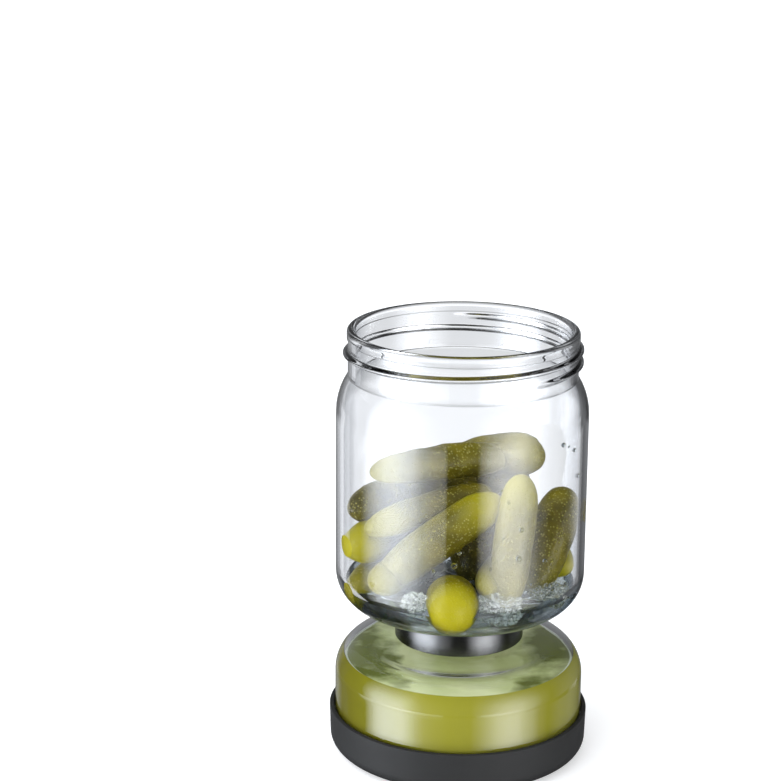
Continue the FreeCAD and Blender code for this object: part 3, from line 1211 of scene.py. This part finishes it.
@dataclass(frozen=True)
class Gherkin:
    """One gherkin: a bent, warty, blunt-ended fruit.

    Args:
        start: Middle of its first end's round.
        end: Middle of its other end's round.
        radius: Its thickness, halved.
        ripe: How yellow it is at its first and its other end, from 0 to 1; below 0, how far painted shade
            darkens it.
        bow: How far its middle is off the straight line, upwards.
        lump: How lumpy it is.
        blunt: How blunt its ends are, from 2 for round ones.
        lumps: Height of its lumps as a share of its thickness, by lumps a metre.
        ripe_reach: Share of its length that an end's ripeness spreads over.
        ripe_middle: How much of the ends' ripeness its middle has.
    """

    start: tuple[float, float, float]
    end: tuple[float, float, float]
    radius: float
    ripe: tuple[float, float] = (0.1, 0.1)
    bow: float = 1.0
    lump: float = 0.5
    blunt: float = 3.8
    lumps: Mapping[float, float] = field(default_factory=lambda: {110: 0.06, 320: 0.05})
    ripe_reach: float = 0.42
    ripe_middle: float = 0.25

    def build(self, number: int) -> bpy.types.Object:
        """Makes the gherkin from a sphere.

        Args:
            number: Its number, which also varies its lumps.

        Returns:
            The gherkin.
        """
        deselect_all()
        bpy.ops.mesh.primitive_uv_sphere_add(segments=56, ring_count=64, radius=1.0)
        piece = bpy.context.object
        piece.name = f"gherkin_{number}"
        unit = read_points(piece)
        start, end = Vector(self.start) * MM, Vector(self.end) * MM
        radius = self.radius * MM
        axis = end - start
        across, along = unit[:, :2], unit[:, 2:]
        blunt = np.sqrt(np.clip(1 - np.abs(along) ** self.blunt, 0, 1))
        thin = np.maximum(np.hypot(across[:, :1], across[:, 1:]), 1e-9)
        own = np.hstack([across / thin * blunt * radius, along * (axis.length / 2 + radius)])
        seed = Vector((number * 3.7, number * 1.9, number * 5.3))
        swell = np.ones(len(own))
        for scale, share in self.lumps.items():
            swell += [share * self.lump * noise.noise(Vector(p) * scale + seed) for p in own]
        own[:, :2] *= swell[:, None]
        turn = axis.to_track_quat("Z", "Y").to_matrix()
        places = own @ np.array(turn).T + np.array((start + end) / 2)
        places[:, 2:] += self.bow * MM * (1 - along**2)
        write_points(piece, places)
        self._mark(piece, own + np.array(seed), (along[:, 0] + 1) / 2)
        shade_smooth(piece, math.pi)
        SKIN.dress(piece)
        return piece

    def _mark(self, piece: bpy.types.Object, own: np.ndarray, share: np.ndarray) -> None:
        """Writes two attributes that the skin reads: own_place and ripe.

        Args:
            piece: The gherkin.
            own: Each point's place on the gherkin.
            share: How far each point is along it, from 0 to 1.
        """
        place = piece.data.attributes.new("own_place", "FLOAT_VECTOR", "POINT")
        place.data.foreach_set("vector", own.ravel())
        first, other = self.ripe
        near = smooth(1 - share / self.ripe_reach) * first
        near += smooth(1 - (1 - share) / self.ripe_reach) * other
        middle = self.ripe_middle * (first + other) / 2
        ripe = piece.data.attributes.new("ripe", "FLOAT", "POINT")
        ripe.data.foreach_set("value", np.maximum(near, middle))


@dataclass(frozen=True)
class Drop:
    """A drop of water on the inside of a wall.

    Args:
        angle: Where it is, in degrees from the front, to the right.
        height: Height above the table.
        radius: Its size.
    """

    angle: float
    height: float
    radius: float


@dataclass(frozen=True)
class Splash:
    """A crumpled lump of moving water.

    Args:
        middle: Its middle.
        size: Its half lengths along X, Y and Z.
        crumple: How crumpled it is.
        octaves: What its folds are made of: how much of each, and how fine.
    """

    middle: tuple[float, float, float]
    size: tuple[float, float, float]
    crumple: float = 0.32
    octaves: Sequence[tuple[float, float]] = ((1.0, 2.2), (0.5, 5.5), (0.22, 12.0))

    def build(self) -> bpy.types.Object:
        """Makes the lump from a ball.

        Returns:
            The lump.
        """
        deselect_all()
        bpy.ops.mesh.primitive_ico_sphere_add(subdivisions=6, radius=1.0)
        piece = bpy.context.object
        unit = read_points(piece)
        middle = Vector(self.middle)
        rough = [
            sum(share * noise.noise(Vector(p) * scale + middle) for share, scale in self.octaves)
            for p in unit
        ]
        places = unit * (1 + self.crumple * np.array(rough))[:, None] * np.array(self.size)
        write_points(piece, (places + np.array(middle)) * MM)
        return piece


SKIN = GherkinSkin()
BRINE = BrineFinish()
WATER = ClearWater()
# Painted shade: the pool's water is tinted dark bluish-grey, for the shaded water in the jar's heel.
DIM_WATER = ClearWater(name="dim_water", tint=(0.58, 0.64, 0.66, 1.0))
FOAM = ClearWater(name="foam", tint=(0.84, 0.86, 0.82, 1.0), foam=0.4)


@dataclass
class Contents:
    """Gherkins in the upper jar and brine in the chamber.

    Args:
        brine_overlap: How far the brine reaches into the glass.
        brine_drop: How far it reaches below the chamber's rim.
        brine_bend: Height where its side starts to bend in.
        brine_top: Height of its top.
        brine_edge: Rounding of its lower edge.
        climb: How far its rim climbs the glass.
        climb_round: Rounding where the rim starts to climb.
        ripple: Height of its ripples.
        ripple_scale: Ripples a metre.
        ripple_rim: Width of its rim that has no ripples.
        pool_overlap: How far the upper jar's water reaches into the glass.
        pool_depth: Its depth.
        pool_wave: Height of its waves.
        pool_scale: Waves a metre.
        pool_rim: Width of its rim that has no waves.
        gherkins: The gherkins.
        drops: The drops on the upper jar's wall.
        splashes: The foaming water.
    """

    brine_overlap: float = 1.0 * MM
    brine_drop: float = 1.2 * MM
    brine_bend: float = 31.6 * MM
    brine_top: float = 38.6 * MM
    brine_edge: float = 0.5 * MM
    climb: float = 0.9 * MM
    climb_round: float = 1.6 * MM
    ripple: float = 0.25 * MM
    ripple_scale: float = 130.0
    ripple_rim: float = 3 * MM
    pool_overlap: float = 0.2 * MM
    pool_depth: float = 8.0 * MM
    pool_wave: float = 1.3 * MM
    pool_scale: float = 210.0
    pool_rim: float = 1 * MM
    gherkins: Sequence[Gherkin] = (
        Gherkin((-29.6, -15, 122), (12.3, -2, 122.5), 6.5, (0.4, 0.35)),
        Gherkin((25.5, 0, 123.5), (2, 22, 112), 8.6, (0.3, 0.1)),
        Gherkin((-31.5, -20, 101), (6.3, -9, 110), 6.3, (0.6, 0.1)),
        Gherkin((-25.5, -23.4, 83.4), (8, -26.6, 110.4), 8.2, (0.2, 0.9)),
        Gherkin((21.3, -30, 118.2), (17.2, -32, 80), 7.6, (0.7, 0.25)),
        Gherkin((39.3, -6.3, 104), (30.0, -14, 80), 8.9, (0.1, 0.15)),
        Gherkin((39.3, -1.5, 80), (24, 30, 80), 8.2, (1.0, 0.1)),
        Gherkin((-37.9, -4, 103.6), (-12, 32, 98), 8.5, (0.0, 0.0)),
        Gherkin((-37.6, -13.8, 91.2), (-20, 18, 88), 9.2, (1.0, 0.6)),
        Gherkin((-37.6, -14.5, 74.2), (-14, 28, 77), 8.2, (0.4, 0.2)),
        Gherkin((-29.8, -27.0, 80.7), (-20, 2, 74), 7.3, (0.5, 0.1)),
        Gherkin((-4.0, -38.9, 75.2), (-4.2, -34.5, 74.6), 10.0, (1.0, 0.9)),
        Gherkin((9.8, -33.5, 81.5), (19, 10, 75), 6.4, (0.5, 0.1)),
        Gherkin((-4, 30, 102), (-20, 22, 80), 8.0, (0.0, 0.0)),
        Gherkin((18, 30, 112), (10, 28, 80), 8.0, (0.0, 0.0)),
        # The last three are dark filler behind the others; a ripeness below 0 paints them in shade.
        Gherkin((2, 6, 96), (6, 2, 78), 9.5, (-1.0, -1.0)),
        Gherkin((14, 8, 106), (14, 4, 84), 8.5, (-1.0, -1.0)),
        Gherkin((-22, 10, 108), (20, 10, 110), 8.5, (-0.6, -0.6)),
    )
    drops: Sequence[Drop] = (
        Drop(-2.4, 99.9, 0.9), Drop(-4.6, 94.6, 1.2), Drop(27.1, 107.5, 1.0), Drop(26.0, 95.9, 1.2),
        Drop(20.3, 119.1, 0.6), Drop(16.8, 124.2, 0.5), Drop(40.7, 92.8, 0.9), Drop(51.5, 137.6, 0.9),
        Drop(61.3, 133.5, 0.8), Drop(56.0, 136.0, 0.5), Drop(66.0, 122.0, 0.9), Drop(18.0, 105.0, 0.5),
        Drop(-9.0, 98.0, 0.5), Drop(12.0, 93.0, 0.6), Drop(-14.0, 92.0, 0.7), Drop(33.0, 84.5, 0.6),
    )
    splashes: Sequence[Splash] = (
        Splash((13.5, -37.0, 74.5), (9.5, 5.0, 5.5)),
        Splash((-17.5, -38.0, 75.6), (5.5, 3.5, 4.0)),
        Splash((33.0, -20, 74.0), (7.0, 8.0, 3.6)),
    )

    def build(self) -> None:
        """Lays the gherkins, pours the brine and water, and lets each move with its jar."""
        for number, gherkin in enumerate(self.gherkins, 1):
            self.set_apart(gherkin.build(number), "food_jar")
        self.set_apart(self.pool(), "food_jar")
        self.set_apart(self.beads(), "food_jar")
        self.set_apart(join([splash.build() for splash in self.splashes], "foam", FOAM), "food_jar")
        self.set_apart(self.brine(), "brine_jar")

    def set_apart(self, piece: bpy.types.Object, body: str) -> None:
        """Lets a piece move with a body.

        Args:
            piece: The piece.
            body: The body.
        """
        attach(piece, body)
        LOG.info("%s: shown in %s", piece.name, body)

    def brine(self) -> bpy.types.Object:
        """Turns the chamber's filling, which reaches a little into the glass.

        Returns:
            The brine.
        """
        jar = BrineJar()
        rim, _ = heights("lower_jar")
        wall = reach_of("lower_jar") - jar.glass + self.brine_overlap
        mouth = jar.mouth.bore + self.brine_overlap
        heel = rim + jar.mouth_depth
        bottom = rim - self.brine_drop
        bend = jar.crown_round - jar.glass + self.brine_overlap
        up = self.brine_top + self.climb - self.brine_bend
        edge = wall - bend + math.sqrt(bend**2 - up**2)
        slope = math.asin(up / bend)
        corner_height = self.brine_bend + bend * math.tan(slope / 2)
        piece = Lathe(
            "brine",
            [
                Corner(0.0, bottom, rows=4),
                Corner(mouth, bottom, self.brine_edge, rows=4),
                Corner(mouth, heel - self.brine_overlap, jar.glass),
                Corner(wall, heel + jar.glass - self.brine_overlap, jar.glass, rows=6),
                Corner(wall, corner_height, SHY * bend),
                Corner(edge, self.brine_top + self.climb),
                Corner(edge - self.climb, self.brine_top, self.climb_round, rows=60),
                Corner(0.0, self.brine_top),
            ],
            closed=False,
        ).turned()
        ruffle(piece, self.brine_top, edge - self.ripple_rim, self.ripple, self.ripple_scale)
        BRINE.dress(piece)
        return piece

    def pool(self) -> bpy.types.Object:
        """Turns the splash of water on the upper jar's floor.

        Returns:
            The water.
        """
        jar = FoodJar()
        floor = heights("upper_jar")[0] + jar.neck.depth + jar.floor - self.pool_overlap
        wall = reach_of("upper_jar") - jar.glass + self.pool_overlap
        bend = jar.heel_round - jar.glass + self.pool_overlap
        top = floor + self.pool_depth
        sink = bend - self.pool_depth
        edge = wall - bend + math.sqrt(bend**2 - sink**2)
        turned = math.acos(sink / bend)
        corner = wall - bend + bend * math.tan(turned / 2)
        piece = Lathe(
            "splash",
            [
                Corner(0.0, floor, rows=6),
                Corner(corner, floor, SHY * bend),
                Corner(edge, top, rows=70),
                Corner(0.0, top),
            ],
            closed=False,
        ).turned()
        ruffle(piece, top, edge - self.pool_rim, self.pool_wave, self.pool_scale)
        # Painted shade: a dark tint stands in for the shade on this water.
        DIM_WATER.dress(piece)
        return piece

    def beads(self) -> bpy.types.Object:
        """Sets the drops on the upper jar's inner wall, as one piece.

        Returns:
            The drops.
        """
        wall = reach_of("upper_jar") - FoodJar().glass
        pieces = []
        for drop in self.drops:
            angle = math.radians(drop.angle)
            place = (wall * math.sin(angle), -wall * math.cos(angle), drop.height * MM)
            deselect_all()
            bpy.ops.mesh.primitive_uv_sphere_add(
                segments=32, ring_count=16, radius=drop.radius * MM, location=place
            )
            pieces.append(bpy.context.object)
        return join(pieces, "drops", WATER)


def join(pieces: Sequence[bpy.types.Object], name: str, finish: Finish) -> bpy.types.Object:
    """Joins round pieces into one.

    Args:
        pieces: The pieces.
        name: Name of the joined piece.
        finish: Its finish.

    Returns:
        The joined piece.
    """
    deselect_all()
    for piece in pieces:
        piece.select_set(True)
    bpy.ops.object.join()
    joined = bpy.context.object
    bpy.ops.object.transform_apply(location=True, rotation=True, scale=True)
    joined.name = name
    shade_smooth(joined, math.pi)
    finish.dress(joined)
    return joined


def ruffle(
    piece: bpy.types.Object, level: float, reach: float, height: float, scale: float, fade: float = 5 * MM
) -> None:
    """Raises waves on a liquid's flat top.

    Args:
        piece: The liquid.
        level: Height of its top.
        reach: Radius where the waves end.
        height: How high they are.
        scale: Waves a metre.
        fade: Distance over which they die away.
    """
    places = read_points(piece)
    radius = np.hypot(places[:, 0], places[:, 1])
    top = (np.abs(places[:, 2] - level) < TOUCH) & (radius < reach)
    calm = smooth((reach - radius[top]) / fade)
    waves = [
        noise.noise(Vector((x, y, 0.003)) * scale) + 0.5 * noise.noise(Vector((x, y, 0.004)) * 2.3 * scale)
        for x, y in places[top, :2]
    ]
    places[top, 2] += height * np.array(waves) * calm
    write_points(piece, places)


# ---------------------------------------------------------------------------------------------------
# Studio
# ---------------------------------------------------------------------------------------------------


class Side(Enum):
    """Parts of the studio's surround, by what they are for."""

    UNDER = "mirrored in the lower half and the shoulders"
    BELOW = "mirrored in the upper jar's wall"
    LAMPS = "the light on the keeper"
    BEYOND = "seen through the glass"


@dataclass
class Studio:
    """A white table in a pale room with a large soft light at each side, and the camera.

    Args:
        floor_radius: Radius of the table.
        floor_shade: How much light the table gives back.
        floor_glow: Light that it gives off by itself.
        brightest: Brightness that the surround's colours are shares of.
        backdrop: Brightness behind the keeper.
        surround: Brightness of the surround by the angle from the camera's side, in degrees, to the right.
        mirror_tiers: What the mirrored brightness is multiplied by, by the height of the line of sight.
        beyond_tiers: The same for what is seen through the glass.
        wall_fade_in: Heights of the line of sight over which the mirrored UNDER turns to BELOW.
        wall_fade_out: Heights over which it turns back.
        behind: Middle and half width, in degrees, of the stretch that mirrored views show through glass too.
        blue_from: Angle where the left light's blue begins.
        blue_to: Angle where it ends.
        blue: That blue, as shares of the brightness.
        camera_place: Where the camera is.
        camera_pitch: Degrees that it looks down.
        camera_roll: Degrees that it is rolled.
        lens: Its focal length, in mm.
        film_width: Width of its film, in mm.
        sight: The nearest and the furthest that it sees.
        clear_bounces: How often light goes through surfaces.
        mirror_bounces: How often it is mirrored.
        matt_bounces: How often matt surfaces throw it back.
    """

    floor_radius: float = 14.0
    floor_shade: float = 0.8
    floor_glow: float = 0.5
    brightest: float = 14.0
    backdrop: float = 1.0
    surround: Mapping[Side, Mapping[float, float]] = field(
        default_factory=lambda: {
            Side.UNDER: {
                -180: 0.3, -168: 0.3, -155: 0.5, -140: 0.1, -98: 0.1, -91: 2.6, -82: 6.0, -74: 7.4, -56: 7.2,
                -48: 5.0, -40: 2.1, -33: 0.9, -24: 0.4, -10: 0.12, 10: 0.12, 18: 1.0, 26: 2.2, 36: 4.1,
                46: 5.1, 56: 4.7, 64: 3.1, 72: 1.9, 80: 0.5, 91: 0.03, 108: 0.4, 126: 0.4, 150: 0.1, 172: 0.3,
            },
            Side.BELOW: {
                -180: 0.3, -164: 0.3, -160: 0.7, -152: 0.7, -147: 0.4, -140: 0.15, -106: 0.15, -95: 3.0,
                -88: 5.2, -76: 8.6, -65: 10.0, -55: 9.4, -46: 7.4, -37: 4.0, -27: 2.5, -16: 1.5, -14.5: 0.02,
                13: 0.02, 17: 1.5, 26: 4.6, 35: 6.6, 45: 6.9, 54: 6.2, 64: 3.4, 76: 0.8, 88: 0.02, 108: 0.02,
                118: 0.1, 124: 0.6, 138: 0.9, 142: 0.1, 172: 0.3,
            },
            Side.LAMPS: {
                -180: 1.0, -160: 0.8, -135: 0.7, -115: 1.0, -95: 2.2, -75: 2.2, -60: 2.9, -25: 2.7, -8: 1.2,
                10: 0.8, 45: 0.8, 72: 0.9, 85: 0.6, 110: 0.25, 150: 0.3, 165: 0.75, 180: 1.0,
            },
            Side.BEYOND: {
                -178: 1.15, -165: 1.12, -120: 1.08, 100: 1.05, 125: 1.0, 136: 0.8, 142: 0.5, 150: 0.7,
                156: 0.95, 163: 1.05, 175: 1.17,
            },
        }
    )
    mirror_tiers: Mapping[float, float] = field(
        default_factory=lambda: {
            -1.0: 0.1, -0.47: 0.1, -0.445: 1.0, -0.376: 1.0, -0.369: 0.65, -0.29: 1.0, 0.0: 0.9, 0.2: 0.7,
            0.35: 0.5, 0.6: 0.12, 1.0: 0.12,
        }
    )
    beyond_tiers: Mapping[float, float] = field(
        default_factory=lambda: {
            -1.0: 0.25, -0.75: 0.38, -0.6: 0.66, -0.5: 0.85, -0.43: 1.0, -0.275: 1.0, -0.255: 0.72,
            0.03: 0.72, 0.2: 0.45, 0.5: 0.45, 1.0: 0.7,
        }
    )
    wall_fade_in: tuple[float, float] = (-0.37, -0.357)
    wall_fade_out: tuple[float, float] = (-0.285, -0.265)
    behind: tuple[float, float] = (-142.0, 12.0)
    blue_from: float = -100.0
    blue_to: float = -30.0
    blue: tuple[float, float, float] = (0.88, 0.93, 1.0)
    camera_place: Vector = field(default_factory=lambda: Vector((-28.667, -834.284, 388.155)) * MM)
    camera_pitch: float = 15.92
    camera_roll: float = 0.4028
    lens: float = 101.54
    film_width: float = 36.0
    sight: tuple[float, float] = (0.05, 60.0)
    clear_bounces: int = 24
    mirror_bounces: int = 6
    matt_bounces: int = 3

    def build(self) -> None:
        """Sets up the camera, the table and the light."""
        self.camera()
        self.table()
        self.light()

    def camera(self) -> None:
        """Places the camera and makes it the scene's own."""
        pitch, roll = math.radians(self.camera_pitch), math.radians(self.camera_roll)
        ahead = Vector((0, math.cos(pitch), -math.sin(pitch)))
        level = Vector((1, 0, 0))
        upright = Vector((0, math.sin(pitch), math.cos(pitch)))
        right = level * math.cos(roll) + upright * math.sin(roll)
        up = upright * math.cos(roll) - level * math.sin(roll)
        deselect_all()
        bpy.ops.object.camera_add(location=self.camera_place)
        camera = bpy.context.object
        turned = Matrix((right, up, -ahead)).transposed().to_4x4()
        camera.matrix_world = Matrix.Translation(self.camera_place) @ turned
        camera.data.sensor_fit = "HORIZONTAL"
        camera.data.sensor_width = self.film_width
        camera.data.lens = self.lens
        camera.data.clip_start, camera.data.clip_end = self.sight
        bpy.context.scene.camera = camera

    def table(self) -> None:
        """Lays the pale table, lit from below too, which neither reflections nor glass show."""
        deselect_all()
        bpy.ops.mesh.primitive_circle_add(vertices=128, radius=self.floor_radius, fill_type="NGON")
        table = bpy.context.object
        table.name = "table"
        material = bpy.data.materials.new("table_white")
        material.use_nodes = True
        graph = Graph(material.node_tree)
        inputs = {
            "Base Color": grey(self.floor_shade), "Roughness": 0.9, "Specular IOR Level": 0.0,
            "Emission Color": grey(1.0), "Emission Strength": self.floor_glow,
        }
        graph.plain(inputs)
        table.data.materials.append(material)
        table.visible_glossy = table.visible_transmission = False

    def light(self) -> None:
        """Paints the surround: pale all round, brighter at both sides, dim behind the camera."""
        scene = bpy.context.scene
        world = bpy.data.worlds.new("studio")
        world.use_nodes = True
        scene.world = world
        graph = Graph(world.node_tree)
        split = graph.add("SeparateXYZ", {0: graph.add("TexCoord").outputs["Generated"]}).outputs
        angle = graph.math("ARCTAN2", split["X"], graph.math("MULTIPLY", split["Y"], -1.0))
        share = graph.math("ADD", graph.math("DIVIDE", angle, math.tau), 0.5)
        rings = {
            side: graph.ramp(share, {(at + 180) / 360: self.tinted(at, level) for at, level in stops.items()})
            for side, stops in self.surround.items()
        }
        low = graph.spread(split["Z"], 0.0, 1.0, *self.wall_fade_in)
        high = graph.spread(split["Z"], 1.0, 0.0, *self.wall_fade_out)
        mirrored = graph.blend(graph.math("MULTIPLY", low, high), rings[Side.UNDER], rings[Side.BELOW])
        mirrored = self.dimmed(graph, mirrored, self.mirror_tiers)
        seen = self.dimmed(graph, rings[Side.BEYOND], self.beyond_tiers)
        path = graph.add("LightPath").outputs
        behind = graph.math("COMPARE", angle, *map(math.radians, self.behind))
        straight = graph.math("MAXIMUM", graph.math("LESS_THAN", path["Glossy Depth"], 0.5), behind)
        through = graph.math("MULTIPLY", path["Is Transmission Ray"], straight)
        colour = graph.blend(path["Is Glossy Ray"], rings[Side.LAMPS], mirrored)
        colour = graph.blend(through, colour, seen)
        colour = graph.blend(path["Is Camera Ray"], colour, cool(self.backdrop / self.brightest))
        background = graph.add("Background", {"Color": colour, "Strength": self.brightest}).outputs[0]
        graph.tree.links.new(background, graph.add("OutputWorld").inputs["Surface"])
        scene.view_settings.view_transform = "Standard"
        scene.cycles.max_bounces = self.clear_bounces
        scene.cycles.transmission_bounces = self.clear_bounces
        scene.cycles.transparent_max_bounces = self.clear_bounces
        scene.cycles.glossy_bounces = self.mirror_bounces
        scene.cycles.diffuse_bounces = self.matt_bounces

    def tinted(self, angle: float, level: float) -> tuple[float, float, float, float]:
        """Works out the surround's colour at an angle, bluer in the left light.

        Args:
            angle: The angle, in degrees.
            level: The brightness there.

        Returns:
            The colour, as a share of the brightest.
        """
        share = level / self.brightest
        if self.blue_from < angle < self.blue_to:
            return (*(part * share for part in self.blue), 1.0)
        return cool(share)

    def dimmed(
        self, graph: Graph, ring: bpy.types.NodeSocket, tiers: Mapping[float, float]
    ) -> bpy.types.NodeSocket:
        """Dims a ring of the surround by the height of the line of sight.

        Args:
            graph: The world's nodes.
            ring: The ring's colour.
            tiers: What to multiply by, by height from -1 to 1.

        Returns:
            The dimmed colour.
        """
        height = graph.part(graph.add("TexCoord").outputs["Generated"], "Z")
        share = graph.math("MULTIPLY_ADD", height, 0.5, 0.5)
        tier = graph.ramp(share, {(at + 1) / 2: grey(level) for at, level in tiers.items()})
        inputs = {0: 1.0, 6: ring, 7: tier}
        return graph.add("Mix", inputs, data_type="RGBA", blend_type="MULTIPLY").outputs[2]


def main() -> None:
    """Builds the studio and the keeper, from the table up."""
    logging.basicConfig(level=logging.INFO, format="%(name)s: %(message)s")
    Studio().build()
    cap = BaseCap()
    cap.build()
    cap.dress()
    BrineJar().build()
    coupling = Coupling()
    coupling.build()
    coupling.dress()
    FoodJar().build()
    Strainer().dress()
    Contents().build()


if __name__ == "__main__":
    main()
